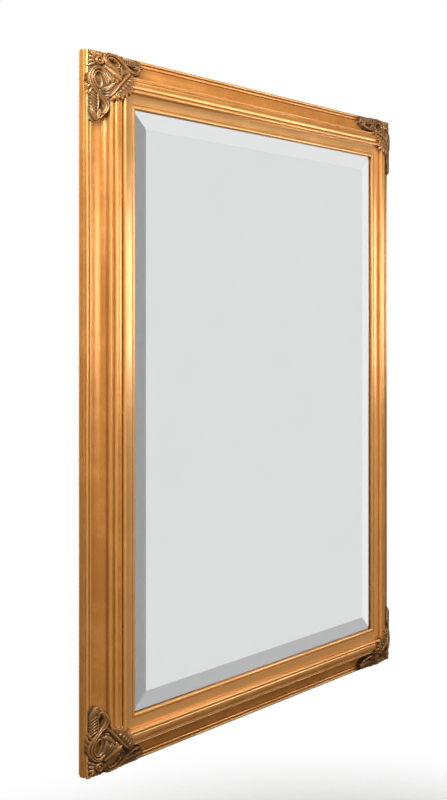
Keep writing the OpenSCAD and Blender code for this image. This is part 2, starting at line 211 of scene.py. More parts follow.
def run_length(name, k, section):
    start_fresh()
    length = FRAME_W if k % 2 == 0 else FRAME_H
    bpy.ops.mesh.primitive_circle_add(vertices=len(section), radius=0.01)
    bar = name_piece(name)
    for corner, (u, v) in zip(bar.data.vertices, section):
        corner.co = on_side(k, 0, u, v)
    steps = [math.dist(a, b) for a, b in zip(section, section[1:])]
    store(bar, "around", np.concatenate([[0], np.cumsum(steps)]) * MM)
    store(bar, "hollow", hollows(section))
    run = on_side(k, length, 0, 0) - on_side(k, 0, 0, 0)
    bpy.ops.object.mode_set(mode="EDIT")
    bpy.ops.mesh.select_all(action="SELECT")
    bpy.ops.mesh.extrude_region_move(TRANSFORM_OT_translate={"value": run})
    inward = on_side(k, 0, 1, 0) - on_side(k, 0, 0, 0)
    forward = run.normalized()
    for end, sign in ((0, 1), (length, -1)):
        normal = (forward * sign - inward.normalized()).normalized()
        bpy.ops.mesh.select_all(action="SELECT")
        bpy.ops.mesh.bisect(plane_co=on_side(k, end, 0, 0), plane_no=normal, use_fill=True, clear_inner=True)
    bpy.ops.mesh.select_all(action="SELECT")
    bpy.ops.mesh.normals_make_consistent(inside=False)
    bpy.ops.object.mode_set(mode="OBJECT")
    origin = on_side(k, 0, 0, 0)
    around = np.empty(len(bar.data.vertices), dtype=np.float32)
    bar.data.attributes["around"].data.foreach_get("value", around)
    uv = bar.data.uv_layers.new(name="run")
    for loop in bar.data.loops:
        along = (bar.data.vertices[loop.vertex_index].co - origin).dot(forward)
        uv.data[loop.index].uv = (along, around[loop.vertex_index])
    bpy.ops.object.shade_smooth_by_angle(angle=MOULDING_CREASE)
    return bar


def run_all(names, section):
    bars = []
    for k, name in enumerate(names):
        bar = run_length("gilt_" + name, k, section)
        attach(bar, "frame")
        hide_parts(name)
        bars.append(bar)
    return bars


mouldings = run_all(SIDES, moulding_section())
slips = run_all(SLIPS, slip_section())
print("moulding faces:", [len(bar.data.polygons) for bar in mouldings])

# %% [markdown]
# The four corner castings are the showpiece: a leafy composition ornament with a rosette at the corner, a shell that
# opens along the mitre, a scroll on each side, and an acanthus leg that ends in a curled tip. A carver draws such a
# corner once and cuts it twice, mirrored about the mitre. This one is drawn the same way: strokes of a gouge, each a
# smooth path with a width and a height, laid on a ground that bridges the cove. Only the half beside the stile is
# drawn, and the other half is its mirror image.

# %% The ground under the carving
GROUND = [(-4, 20), (-2, 21), (1, 24), (4, 27), (8, 29), (13, 30.5), (22, 33), (30, 38), (38, 45), (46, 50.5),
          (54, 52.5), (62, 53.2), (68, 54.2), (73, 52.5), (77, 48.5), (80, 46)]


def ground_height(u):
    return np.interp(u, [p[0] for p in GROUND], [p[1] for p in GROUND])


def moulding_height(u):
    """Top of the bare moulding, and of the slip beyond it."""
    section = [p for p in moulding_section() if p[1] > FRONT_V + 0.1]
    us = np.array([p[0] for p in section])
    order = np.argsort(us, kind="stable")
    level = np.interp(u, us[order], np.array([p[1] for p in section])[order])
    return np.where(u > MOULDING_W, LIP_V, level)


print("ground over bare moulding at the cove: %.1f mm" % (ground_height(30) - moulding_height(30)))


# %% [markdown]
# A stroke is a smooth curve through a few places. Across it the height falls from its middle to its edges as a round,
# as a ridge with a groove along its back, or as a hollow leaf with raised rims and a midrib. Along it the width swells
# and tapers. Each place takes its height from the nearest part of the stroke, or the groove would fill in on a bend.

# %% Gouge strokes
def smooth_path(points, per_span=14):
    """Catmull-Rom curve through the points."""
    p = np.array([points[0]] + list(points) + [points[-1]], dtype=float)
    t = np.linspace(0, 1, per_span, endpoint=False)[:, None]
    spans = []
    for a, b, c, d in zip(p, p[1:], p[2:], p[3:]):
        spans.append(0.5 * (2 * b + (c - a) * t + (2 * a - 5 * b + 4 * c - d) * t ** 2
                            + (3 * b - a - 3 * c + d) * t ** 3))
    return np.vstack(spans + [p[-1:]])


def across_round(x):
    """x is -1 at one edge of the stroke, 0 along its middle and 1 at the other edge."""
    return np.sqrt(np.clip(1 - x * x, 0, 1))


def across_grooved(x):
    return across_round(x) - 0.50 * np.exp(-((x - 0.08) / 0.24) ** 2) * (np.abs(x) < 1)


def across_rimmed(x):
    midrib = 0.30 * np.exp(-(x / 0.13) ** 2)
    return across_round(x) * (0.34 + 0.66 * np.abs(x) ** 1.5 + midrib) * 1.3


def stroke(a, b, points, widths, height, across=across_round, taper=0.5):
    """Height of one stroke over the whole plan, and where it lies."""
    path = smooth_path(points)
    width = np.interp(np.linspace(0, 1, len(path)), np.linspace(0, 1, len(widths)), widths)
    best, closest = np.zeros_like(a), np.ones_like(a)
    for (p, q), w0, w1 in zip(zip(path, path[1:]), width, width[1:]):
        run = q - p
        size = max(run @ run, 1e-9)
        reach = max(w0, w1)
        near = ((a > min(p[0], q[0]) - reach) & (a < max(p[0], q[0]) + reach)
                & (b > min(p[1], q[1]) - reach) & (b < max(p[1], q[1]) + reach))
        if not near.any():
            continue
        da, db = a[near] - p[0], b[near] - p[1]
        t = np.clip((da * run[0] + db * run[1]) / size, 0, 1)
        ea, eb = da - t * run[0], db - t * run[1]
        side = np.sign(run[0] * db - run[1] * da)
        w = w0 + (w1 - w0) * t
        x = side * np.hypot(ea, eb) / np.maximum(w, 0.05)
        rise = height * (w / max(widths)) ** taper * across(np.clip(x, -1, 1))
        nearer = np.abs(x) < closest[near]
        best[near] = np.where(nearer, rise, best[near])
        closest[near] = np.where(nearer, np.abs(x), closest[near])
    return best


def hollow_at(a, b, centre, radii, turn, depth):
    """A pierced or sunk oval, as a depth with a soft rim."""
    c, s = math.cos(math.radians(turn)), math.sin(math.radians(turn))
    x = ((a - centre[0]) * c + (b - centre[1]) * s) / radii[0]
    y = (-(a - centre[0]) * s + (b - centre[1]) * c) / radii[1]
    return depth * np.clip(1.35 - np.hypot(x, y) * 1.35, 0, 1) ** 0.55


print("a groove is cut to %.2f of its ridge" % (across_grooved(0.08) / across_round(0.08)))

# %% [markdown]
# The scroll is the longest stroke: it starts beside the rosette, swings out to the edge bead, crosses back, and ends in
# a smaller loop above the tip of the leg. A thinner stroke follows it inside, with four short leaves that curl off it.
# Drawing it as a list of places keeps its line easy to change.

# %% Draw the scroll
SCROLL = [(27, 38), (22.5, 33.5), (15.5, 32), (8.5, 36), (4, 44), (3, 52.5), (5, 61), (9.5, 68.5), (15.5, 76),
          (22, 82.5), (28, 89), (31, 97.5), (29.5, 106), (24.5, 112.5), (19, 112), (17.5, 107)]
SCROLL_WIDTHS = [2.2, 3.4, 4.0, 4.2, 4.2, 4.0, 3.6, 3.4, 3.2, 2.6, 2.0]
INNER_SCROLL = [(25.5, 43), (20, 38.5), (13.5, 40), (9.6, 47), (10, 55), (14, 62.5), (20, 68)]


def draw_scroll(add):
    add(SCROLL, SCROLL_WIDTHS, 7.4, across_grooved)
    add(INNER_SCROLL, [1.2, 2.0, 2.3, 2.2, 1.8], 4.6)
    add([(11, 44), (16, 44.5), (19.5, 47.5)], [1.8, 1.6, 0.7], 3.8)
    add([(10.5, 51), (15.5, 51.5), (19, 55)], [1.8, 1.7, 0.7], 3.6)
    add([(12.5, 58), (17, 58.5), (20.5, 62)], [1.7, 1.6, 0.7], 3.2)
    add([(24, 66), (19, 66.5), (16.5, 61)], [1.6, 1.4, 0.6], 3.0)


print("scroll: %.0f mm long" % sum(math.dist(p, q) for p, q in zip(SCROLL, SCROLL[1:])))

# %% [markdown]
# The shell opens along the mitre: a ridge on the mitre itself, then hollow flutes with raised rims beside it. Below it
# small leaves fill the ground between the scroll and the spray.

# %% Draw the shell
def draw_shell(add):
    add([(29.5, 29.5), (38, 38), (45, 45), (51.5, 51.5)], [2.6, 4.8, 6.4, 6.2, 3.6], 7.6, taper=0.35)
    add([(27.5, 33.5), (33, 42), (37.5, 51), (38.5, 58)], [1.6, 3.6, 4.2, 0.9], 6.2, across_rimmed)
    add([(25.5, 36), (28.5, 45), (31.5, 54), (31.5, 62)], [1.4, 3.2, 3.6, 0.8], 5.6, across_rimmed)
    add([(34, 34.5), (39.5, 44), (45, 53), (45.5, 59)], [1.2, 2.8, 3.2, 0.8], 6.4, across_rimmed)
    for k in range(5):
        shift = 2.3 * k
        add([(24 + shift, 69 - 0.5 * shift), (31 + shift, 71 - 1.3 * shift), (38 + shift, 67 - 1.5 * shift)],
            [0.7, 1.25, 0.8], 2.6)
    for k in range(3):
        add([(22 + 2.5 * k, 70.5 + 6 * k), (27.5 + 1.8 * k, 75 + 5 * k), (34 + 0.3 * k, 74.5 + 4.8 * k)],
            [0.9, 1.9 - 0.2 * k, 0.8], 3.4, across_rimmed)
    add([(20.5, 70.5), (23.5, 78), (29.5, 83.5)], [0.8, 1.2, 0.7], 3.8)


# %% [markdown]
# The spray lies across the crest of the moulding: a stem from the mitre down to the side, leaves that grow inward from
# it over the crest, and berries between them. It is the highest carving, so it catches the most light.

# %% Draw the spray
BERRIES = [((50, 72), 2.6), ((56.5, 66.5), 2.8), ((59, 77), 2.0), ((61.5, 61.5), 3.0), ((48, 82), 1.8)]


def draw_spray(add):
    add([(34, 82), (37.5, 77.5), (42, 71), (48, 62.8), (55, 55)], [1.1, 2.0, 2.3, 2.4, 2.4], 7.4, taper=0.3)
    add([(40, 77), (40.5, 83), (37.5, 88.5)], [2.0, 3.4, 0.9], 5.6, across_rimmed)
    add([(44, 71), (46.5, 79), (45, 87)], [2.2, 4.2, 1.0], 6.4, across_rimmed)
    add([(48.5, 66), (53.5, 75), (55, 85.5)], [2.4, 4.8, 1.2], 7.0, across_rimmed)
    add([(53, 61), (60.5, 70), (64.5, 81)], [2.6, 4.8, 1.4], 7.2, across_rimmed)
    add([(57, 57), (65, 65), (74.5, 74.5)], [2.6, 5.2, 1.6], 7.2, across_rimmed)
    for place, size in BERRIES:
        add([place, (place[0] + 0.6, place[1] + 0.6)], [size, size], 7.8 if size > 2.5 else 6.2)


print("berries:", len(BERRIES))

# %% [markdown]
# The leg is an acanthus leaf that lies along the edge of the frame. It is a broad low stroke, with ribs that lean
# towards its tip, three curls at the tip, and a vein down its inner side. Small leaves near the rosette lap outward.

# %% Draw the leg
def draw_leg(add):
    add([(13, 71), (11, 82), (10.5, 94), (11, 106), (13.5, 116), (16, 123)], [3, 6.5, 7.6, 7.8, 6.4, 2.5], 3.6,
        taper=0.2)
    for k, radius in enumerate((3.2, 5.8, 8.4)):
        add([(12.5 - radius, 103 - k), (12.2 - radius * 0.9, 110 + k), (13, 112.5 + radius * 1.35),
             (13.5 + radius * 0.8, 110 + k), (13 + radius * 0.8, 104)], [0.9, 1.3, 1.5, 1.3, 0.8], 5.4)
    for k in range(6):
        root = 76 + 5.2 * k
        add([(15.5, root + 7), (9.5, root + 4.5), (3.2, root - 1.5)], [0.9, 1.7, 1.0], 5.4)
    add([(14.5, 76), (16.5, 88), (16.4, 99), (14.5, 108)], [1.4, 1.8, 1.5, 0.8], 5.8)
    add([(20, 120), (23.5, 117), (25.5, 112)], [1.0, 2.2, 1.2], 4.6)


def draw_edge_leaves(add):
    for k, (tip, size) in enumerate((((2.5, 13), 2.6), ((1.5, 21.5), 2.5), ((0.5, 30), 2.4))):
        add([(12.5, 17 + 3.5 * k), (7, 14.5 + 6 * k), tip], [1.6, size, 1.0], 5.2, across_rimmed)
    add([(4, 62), (0.5, 66), (-0.5, 72)], [1.8, 2.2, 0.9], 4.4)
    add([(5.5, 70), (2.5, 75), (1, 80)], [1.8, 2.0, 0.9], 4.4)


# %% [markdown]
# The half drawing is all the strokes together, each place keeping the highest, less the sunk ovals inside the loops of
# the scroll. The whole drawing is that half, its mirror image about the mitre, and what lies on the mitre: the rosette
# and the corner leaf.

# %% The whole drawing
SUNK = [((18.5, 53), (5.6, 12.5), -14, 7.5), ((22.8, 99), (3.4, 9.5), -8, 6.5), ((28, 76), (5.5, 6.5), 30, 2.2)]
ROSETTE_AT = 19.5
ROSETTE_R, PETAL_R, BUTTON_R = 9.4, 6.2, 3.1


def half_relief(a, b):
    """Carving on the stile's side of the mitre: raised strokes and sunk hollows."""
    raised = np.zeros_like(a)
    sunk = np.zeros_like(a)

    def add(points, widths, height, across=across_round, taper=0.5):
        np.maximum(raised, stroke(a, b, points, widths, height, across, taper), out=raised)

    for draw in (draw_scroll, draw_shell, draw_spray, draw_leg, draw_edge_leaves):
        draw(add)
    for centre, radii, turn, depth in SUNK:
        np.maximum(sunk, hollow_at(a, b, centre, radii, turn, depth), out=sunk)
    return raised, sunk


def full_relief(a, b):
    raised, sunk = half_relief(a, b)
    raised_too, sunk_too = half_relief(b, a)
    raised, sunk = np.maximum(raised, raised_too), np.maximum(sunk, sunk_too)
    ring = np.hypot(a - ROSETTE_AT, b - ROSETTE_AT)
    rosette = np.where(ring < ROSETTE_R, 3.2 * across_round(np.clip(ring / ROSETTE_R, 0, 1)) ** 0.6, 0)
    rosette = np.maximum(rosette, 6.6 * across_round(np.clip((ring - PETAL_R) / 1.9, -1, 1)))
    rosette = np.maximum(rosette, 7.2 * across_round(np.clip(ring / BUTTON_R, 0, 1)))
    rosette -= 1.6 * np.exp(-(ring / 0.9) ** 2)
    corner = stroke(a, b, [(13, 13), (8, 8), (2, 2)], [2.0, 3.4, 1.0], 5.6, across_rimmed)
    return np.maximum(np.maximum(raised, rosette), corner), sunk


middle = np.full((1, 1), ROSETTE_AT)
print("rosette rises %.1f mm at its middle" % full_relief(middle, middle)[0][0, 0])


# %% [markdown]
# A casting stops at its outline, and it can't be higher than the thickest one the frame has room for. Heights that come
# near that cap are eased under it, so that no ridge ends in a flat. The hollow values are the same idea as on the
# moulding: the surface against its own average, over a wide reach for the toning and painted shade of the recesses, and
# a short one for fine lines.

# %% Outline and heights of the casting
STEP = 0.55
REACH = 128.0
TOP_CAP = (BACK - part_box("ornament_top_left")[0][1]) / MM - 0.1
EASE = 5.0
SOFT_CAP = TOP_CAP - EASE


def inside_outline(a, b):
    """True where the casting covers the moulding."""
    low, high = np.minimum(a, b), np.maximum(a, b)
    raised = full_relief(a, b)[0]
    edge = np.interp(high, [0, 30, 60, 66, 78, 90, 100, 110, 118, 124, 127.5],
                     [99, 99, 99, 80, 62, 36.5, 35, 33.5, 26.5, 19, 8])
    outer = np.interp(high, [0, 14, 30, 70, 84, 118, 124, 127.5], [2.6, 2.6, 2.2, 2.4, 1.0, 1.2, 3.5, 9])
    body = (low < edge) & (low > outer) & (high < 126.5)
    inner = (low > 60) & (high > 66)
    return ((raised > 0.9) | (body & ~inner)) & (low > -1.2) & (high < REACH)


def blurred(field, cells):
    """Box average of a square field, twice, for the hollow values."""
    kernel = np.ones(2 * cells + 1) / (2 * cells + 1)
    for _ in range(2):
        for axis in (0, 1):
            field = np.apply_along_axis(
                lambda row: np.convolve(np.pad(row, cells, mode="edge"), kernel, "valid"), axis, field)
    return field


def casting_heights():
    """Plan places, heights, hollow values and outline of the casting, on a square grid."""
    count = int((REACH + 4) / STEP) + 1
    line = -3.5 + np.arange(count) * STEP
    a, b = np.meshgrid(line, line)
    raised, sunk = full_relief(a, b)
    low = np.minimum(a, b)
    soft_low = low - 2.5 * np.exp(-np.abs(a - b) / 5.0) * (low > 4)
    height = ground_height(soft_low) + raised - sunk
    height = np.maximum(height, moulding_height(low) + 0.6)
    height = 0.65 * height + 0.35 * blurred(height, 1)
    eased = SOFT_CAP + (TOP_CAP - SOFT_CAP) * np.tanh((height - SOFT_CAP) / EASE)
    height = np.where(height > SOFT_CAP, eased, height)
    # Painted shade and toning: the hollow value starts above a plain face's 0.5 and the sunk ovals add to it, so the
    # recesses darken more.
    hollow = 0.60 + (blurred(height, 6) - height) * 0.34 + (blurred(height, 2) - height) * 0.75 + sunk * 0.09
    hollow = np.clip(hollow, 0, 1)
    return a, b, height, hollow, inside_outline(a, b)


casting_fields = casting_heights()
print("casting height: up to %.1f mm of %.1f" % (casting_fields[2][casting_fields[4]].max(), TOP_CAP))

# %% [markdown]
# The casting is a grid added at the corner. Its vertices are lifted to the drawing, the faces outside the outline are
# deleted, and the border is extruded down onto the moulding and closed, so that it is a solid with a thickness.

# %% Model one casting
CASTING_CREASE = math.radians(62)


def model_casting(name, k, fields):
    a, b, height, hollow, mask = fields
    count = a.shape[0]
    start_fresh()
    bpy.ops.mesh.primitive_grid_add(x_subdivisions=count - 1, y_subdivisions=count - 1, size=2)
    casting = name_piece(name)
    mesh = casting.data
    flat = np.empty(len(mesh.vertices) * 3, dtype=np.float32)
    mesh.vertices.foreach_get("co", flat)
    column = np.rint((flat[0::3] + 1) / 2 * (count - 1)).astype(int)
    row = np.rint((flat[1::3] + 1) / 2 * (count - 1)).astype(int)
    flip_x = -1 if k in (1, 2) else 1
    flip_z = -1 if k in (2, 3) else 1
    corner_x = (RIGHT if flip_x < 0 else LEFT)
    corner_z = (TOP if flip_z < 0 else BOTTOM)
    place = np.empty((len(mesh.vertices), 3), dtype=np.float32)
    place[:, 0] = corner_x + flip_x * a[row, column] * MM
    place[:, 1] = BACK - height[row, column] * MM
    place[:, 2] = corner_z + flip_z * b[row, column] * MM
    mesh.vertices.foreach_set("co", place.ravel())
    store(casting, "hollow", hollow[row, column])
    keep = mask[row, column]

    bpy.ops.object.mode_set(mode="EDIT")
    shape = bmesh.from_edit_mesh(mesh)
    shape.verts.ensure_lookup_table()
    for face in shape.faces:
        face.select_set(not all(keep[v.index] for v in face.verts))
    bmesh.update_edit_mesh(mesh)
    bpy.ops.mesh.delete(type="FACE")
    bpy.ops.mesh.select_all(action="SELECT")
    bpy.ops.mesh.region_to_loop()
    bpy.ops.mesh.extrude_edges_move()
    shape = bmesh.from_edit_mesh(mesh)
    for v in shape.verts:
        if v.select:
            u = min(abs(v.co.x - corner_x), abs(v.co.z - corner_z)) / MM
            foot = float(moulding_height(u)) - 0.8
            if (v.co.x - corner_x) * flip_x < 0 or (v.co.z - corner_z) * flip_z < 0:
                foot = FRONT_V
            elif u > MOULDING_W:
                foot = LIP_V + 0.02
            v.co.y = BACK - foot * MM
    bmesh.update_edit_mesh(mesh)
    bpy.ops.mesh.edge_face_add()
    bpy.ops.mesh.select_all(action="SELECT")
    bpy.ops.mesh.normals_make_consistent(inside=False)
    bpy.ops.object.mode_set(mode="OBJECT")
    bpy.ops.object.shade_smooth_by_angle(angle=CASTING_CREASE)
    return casting


castings = []
for k, name in enumerate(CORNERS):
    casting = model_casting("gilt_" + name, k, casting_fields)
    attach(casting, "frame")
    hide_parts(name)
    castings.append(casting)
print("casting faces:", [len(c.data.polygons) for c in castings])

# %% [markdown]
# The finishes are node materials. They are built with three small helpers: one adds a node with its values and links,
# one maps a value from one range to another, and one mixes two colours. What more than one finish uses goes into a
# node group, so that the wear on the moulding, the slip and the castings is one idea with three sets of values.

# %% Node helpers
def put(tree, kind, values=None, **settings):
    node = tree.nodes.new("ShaderNode" + kind)
    for name, value in settings.items():
        setattr(node, name, value)
    for name, value in (values or {}).items():
        if isinstance(value, bpy.types.NodeSocket):
            tree.links.new(value, node.inputs[name])
        else:
            node.inputs[name].default_value = value
    return node


def span(tree, value, low, high, to_low=0.0, to_high=1.0):
    limits = {"Value": value, "From Min": low, "From Max": high, "To Min": to_low, "To Max": to_high}
    return put(tree, "MapRange", limits, interpolation_type="SMOOTHSTEP").outputs["Result"]


def blend(tree, factor, first, second, way="MIX"):
    return put(tree, "Mix", {0: factor, 6: first, 7: second}, data_type="RGBA", blend_type=way).outputs[2]


def sums(tree, way, first, second):
    return put(tree, "Math", {0: first, 1: second}, operation=way).outputs[0]


def noise(tree, place, scale, detail=3.0, rough=0.55):
    values = {"Vector": place, "Scale": scale, "Detail": detail, "Roughness": rough}
    return put(tree, "TexNoise", values).outputs["Fac"]


def stretched(tree, place, scale, turn=(0, 0, 0)):
    return put(tree, "Mapping", {"Vector": place, "Scale": scale, "Rotation": turn}).outputs["Vector"]


def new_group(name, takes, gives):
    group = bpy.data.node_groups.new(name, "ShaderNodeTree")
    for label, kind, value in takes:
        socket = group.interface.new_socket(name=label, in_out="INPUT", socket_type="NodeSocket" + kind)
        if value is not None:
            socket.default_value = value
    for label, kind in gives:
        group.interface.new_socket(name=label, in_out="OUTPUT", socket_type="NodeSocket" + kind)
    return group, group.nodes.new("NodeGroupInput").outputs, group.nodes.new("NodeGroupOutput").inputs


def use_group(tree, group, values):
    node = put(tree, "Group", node_tree=group)
    for name, value in values.items():
        if isinstance(value, bpy.types.NodeSocket):
            tree.links.new(value, node.inputs[name])
        else:
            node.inputs[name].default_value = value
    return node.outputs


def new_finish(name, **plain):
    """A material with one Principled shader, and its plain values set on its own sockets."""
    material = bpy.data.materials.new(name)
    material.use_nodes = True
    shader = material.node_tree.nodes["Principled BSDF"]
    for label, value in plain.items():
        shader.inputs[label.replace("_", " ")].default_value = value
    return material, material.node_tree, shader


def feed(tree, shader, **links):
    for label, socket in links.items():
        tree.links.new(socket, shader.inputs[label.replace("_", " ")])


def object_place(tree):
    return put(tree, "TexCoord").outputs["Object"]


print("materials before the finishes:", len(bpy.data.materials))


# %% [markdown]
# Gilding on composition is bole, leaf and toning, in that order. The leaf has a soft mottle, rubbed ridges show a paler
# metal, and the umber toning stays in the hollows, which also get painted shade: the darker toning there stands in for
# the shade in the grooves. The group below turns the hollow value into those layers.

# %% The worn gilding group
def make_gilding_group():
    group, take, give = new_group(
        "worn and shaded gilding",
        (("Hollow", "Float", 0.5), ("Place", "Vector", None), ("Leaf", "Color", (0.6, 0.3, 0.1, 1)),
         ("Rubbed", "Color", (0.8, 0.6, 0.3, 1)), ("Toning and shade", "Color", (0.08, 0.04, 0.02, 1)),
         ("Toned and shaded", "Float", 1.0), ("Mottle", "Float", 0.2)),
        (("Color", "Color"), ("Roughness", "Float"), ("Height", "Float"), ("Groove toning and shade", "Float")))
    place = take["Place"]
    ragged = sums(group, "MULTIPLY_ADD", noise(group, place, 130, 4), 0.22)
    ragged.node.inputs[2].default_value = -0.11
    hollow = sums(group, "ADD", take["Hollow"], ragged)
    # Painted shade: the hollows are darkened towards the toning colour, standing in for the shade in the grooves as
    # well as for toning.
    groove_toning_and_shade = sums(group, "MULTIPLY", span(group, hollow, 0.60, 0.92), take["Toned and shaded"])
    ridge = span(group, hollow, 0.46, 0.18)
    cloud = noise(group, place, 11, 5, 0.62)
    fleck = noise(group, place, 620, 2, 0.6)
    dark = blend(group, take["Mottle"], take["Leaf"], take["Toning and shade"])
    bright = blend(group, take["Mottle"], take["Leaf"], take["Rubbed"])
    leaf = blend(group, span(group, cloud, 0.30, 0.70), dark, bright)
    leaf = blend(group, sums(group, "MULTIPLY", span(group, fleck, 0.60, 0.74), take["Mottle"]), leaf, take["Toning and shade"])
    worn = blend(group, sums(group, "MULTIPLY", ridge, 0.75), leaf, take["Rubbed"])
    group.links.new(blend(group, groove_toning_and_shade, worn, take["Toning and shade"]), give["Color"])
    rough = sums(group, "ADD", span(group, cloud, 0.25, 0.75, 0.0, 0.10), sums(group, "MULTIPLY", groove_toning_and_shade, 0.26))
    group.links.new(sums(group, "SUBTRACT", rough, sums(group, "MULTIPLY", ridge, 0.05)), give["Roughness"])
    group.links.new(sums(group, "ADD", sums(group, "MULTIPLY", fleck, 0.35), noise(group, place, 70, 3)),
                    give["Height"])
    group.links.new(groove_toning_and_shade, give["Groove toning and shade"])
    return group


def make_drawn_group():
    """Fine streaks left along a length by the gilder's brush and the cutter."""
    group, take, give = new_group("drawn streaks", (("Run", "Vector", None),), (("Streak", "Float"),))
    fine = noise(group, stretched(group, take["Run"], (7, 1500, 1)), 1.0, 3, 0.65)
    broad = noise(group, stretched(group, take["Run"], (2.5, 330, 1)), 1.0, 3, 0.6)
    group.links.new(sums(group, "ADD", sums(group, "MULTIPLY", fine, 0.6), sums(group, "MULTIPLY", broad, 0.4)),
                    give["Streak"])
    return group


worn_and_shaded_gilding = make_gilding_group()
drawn_streaks = make_drawn_group()
print("groups:", {group.name: len(group.nodes) for group in (worn_and_shaded_gilding, drawn_streaks)})

# %% [markdown]
# Three finishes use the groups, each with its own values. The moulding and the slip are bright leaf with fine streaks
# along their length, and the slip is a little paler. The castings are darker, with the leaf rubbed through on the
# ridges and an olive toning left thick in the hollows, which is painted shade as well as toning. All three are mostly a
# bronze paint with a gloss of its own colour, so Metallic stays low and the specular tint is warm.

# %% The gilt finishes
GLOSS_TINT = (1.0, 0.92, 0.78, 1)


def make_gilt(name, leaf, rubbed, toning_and_shade, toned_and_shaded, mottle, rough, metal, streaked, bump):
    material, tree, shader = new_finish(name, Metallic=metal, IOR=1.8, Specular_Tint=GLOSS_TINT)
    hollow = put(tree, "Attribute", attribute_name="hollow").outputs["Fac"]
    gold = use_group(tree, worn_and_shaded_gilding, {"Hollow": hollow, "Place": object_place(tree), "Leaf": leaf,
                                          "Rubbed": rubbed, "Toning and shade": toning_and_shade, "Toned and shaded": toned_and_shaded, "Mottle": mottle})
    colour, roughness, height = gold["Color"], sums(tree, "ADD", gold["Roughness"], rough), gold["Height"]
    if streaked:
        run = put(tree, "UVMap", uv_map="run").outputs["UV"]
        streak = use_group(tree, drawn_streaks, {"Run": run})["Streak"]
        colour = blend(tree, span(tree, streak, 0.56, 0.74, 0.0, streaked), colour, toning_and_shade)
        colour = blend(tree, span(tree, streak, 0.44, 0.28, 0.0, streaked), colour, rubbed)
        height = sums(tree, "ADD", height, sums(tree, "MULTIPLY", streak, 1.6))
        roughness = sums(tree, "ADD", roughness, span(tree, streak, 0.35, 0.7, -0.03, 0.07))
    relief = put(tree, "Bump", {"Height": height, "Strength": bump, "Distance": 0.0004})
    feed(tree, shader, Base_Color=colour, Roughness=roughness, Normal=relief.outputs["Normal"])
    return material


# Each toning colour is also the painted shade of that finish's grooves.
gilt_moulding = make_gilt("gilt moulding", leaf=(0.76, 0.295, 0.052, 1), rubbed=(0.90, 0.48, 0.15, 1),
                          toning_and_shade=(0.22, 0.068, 0.012, 1), toned_and_shaded=0.72, mottle=0.18, rough=0.19, metal=0.30,
                          streaked=0.48, bump=0.35)
gilt_slip = make_gilt("gilt slip", leaf=(0.80, 0.310, 0.066, 1), rubbed=(0.90, 0.49, 0.17, 1),
                      toning_and_shade=(0.25, 0.082, 0.017, 1), toned_and_shaded=0.8, mottle=0.15, rough=0.20, metal=0.30,
                      streaked=0.46, bump=0.3)
gilt_casting = make_gilt("gilt casting", leaf=(0.230, 0.098, 0.022, 1), rubbed=(0.50, 0.215, 0.055, 1),
                         toning_and_shade=(0.060, 0.044, 0.015, 1), toned_and_shaded=1.0, mottle=0.42, rough=0.27, metal=0.22,
                         streaked=0, bump=0.6)
print("gilt finishes:", [finish.name for finish in (gilt_moulding, gilt_slip, gilt_casting)])

# %% [markdown]
# The gilder stops where the eye does: the back and the rebates stay raw timber. Its grain runs along each length, so
# it is drawn on the run map, with slow growth bands, thin dark pores and a faint saw texture.

# %% Raw timber
def make_timber():
    material, tree, shader = new_finish("raw timber", Specular_IOR_Level=0.3)
    run = put(tree, "UVMap", uv_map="run").outputs["UV"]
    bands = noise(tree, stretched(tree, run, (1.6, 75, 1)), 1.0, 4, 0.5)
    pores = noise(tree, stretched(tree, run, (22, 2600, 1)), 1.0, 2, 0.5)
    saw = put(tree, "TexWave", {"Vector": run, "Scale": 190.0, "Distortion": 1.5, "Detail": 2.0},
              bands_direction="X").outputs["Fac"]
    colour = blend(tree, span(tree, bands, 0.35, 0.65), (0.56, 0.37, 0.19, 1), (0.72, 0.53, 0.31, 1))
    colour = blend(tree, span(tree, pores, 0.62, 0.75, 0.0, 0.6), colour, (0.25, 0.13, 0.06, 1))
    height = sums(tree, "ADD", sums(tree, "MULTIPLY", saw, 0.3), pores)
    relief = put(tree, "Bump", {"Height": height, "Strength": 0.3, "Distance": 0.0003})
    feed(tree, shader, Base_Color=colour, Roughness=span(tree, bands, 0.3, 0.7, 0.62, 0.8),
         Normal=relief.outputs["Normal"])
    return material


raw_timber = make_timber()
RAW_EDGE_V = 3.1


def dress_bar(bar, gilt):
    """Gilt on the faces that show, raw timber on the back and in the rebate."""
    bar.data.materials.append(gilt)
    bar.data.materials.append(raw_timber)
    for face in bar.data.polygons:
        c = face.center
        behind = face.normal.y > 0.35 or c.y > BACK - RAW_EDGE_V * MM
        inward = min(c.x - LEFT, RIGHT - c.x, c.z - BOTTOM, TOP - c.z)
        rebate = abs(face.normal.y) < 0.1 and abs(inward - REBATE_U * MM) < 1.2 * MM
        face.material_index = 1 if behind or rebate else 0


for bar in mouldings:
    dress_bar(bar, gilt_moulding)
for bar in slips:
    dress_bar(bar, gilt_slip)
for casting in castings:
    casting.data.materials.append(gilt_casting)
print("gilt:", len(mouldings) + len(slips) + len(castings), "pieces")


# %% [markdown]
# The plate is clear float glass with a wide bevel, and the silver is a separate coat that reaches a hair into it, so
# that no air lies between them. Light really goes through the glass, meets the silver and comes back. In a room each
# bevel turns its band to another part of the room. This surround is plain, so the silver carries a painted reflection
# instead: the band behind each bevel, and the middle, is darkened to a fixed shade of its own, which stays the same
# from every side. The silver is also faintly cloudy, which keeps it from looking like a hole in the wall.

# %% Glass and silver
BEVEL_W, BEVEL_DROP = 36.2, 4.2
COAT_INSET, COAT_INTO_GLASS = 0.1, 0.02
HAIR = 1e-5
PAINTED_REFLECTION_SHADES = {"front": 0.805, "left": 0.385, "right": 0.925, "bottom": 0.495, "top": 0.865}


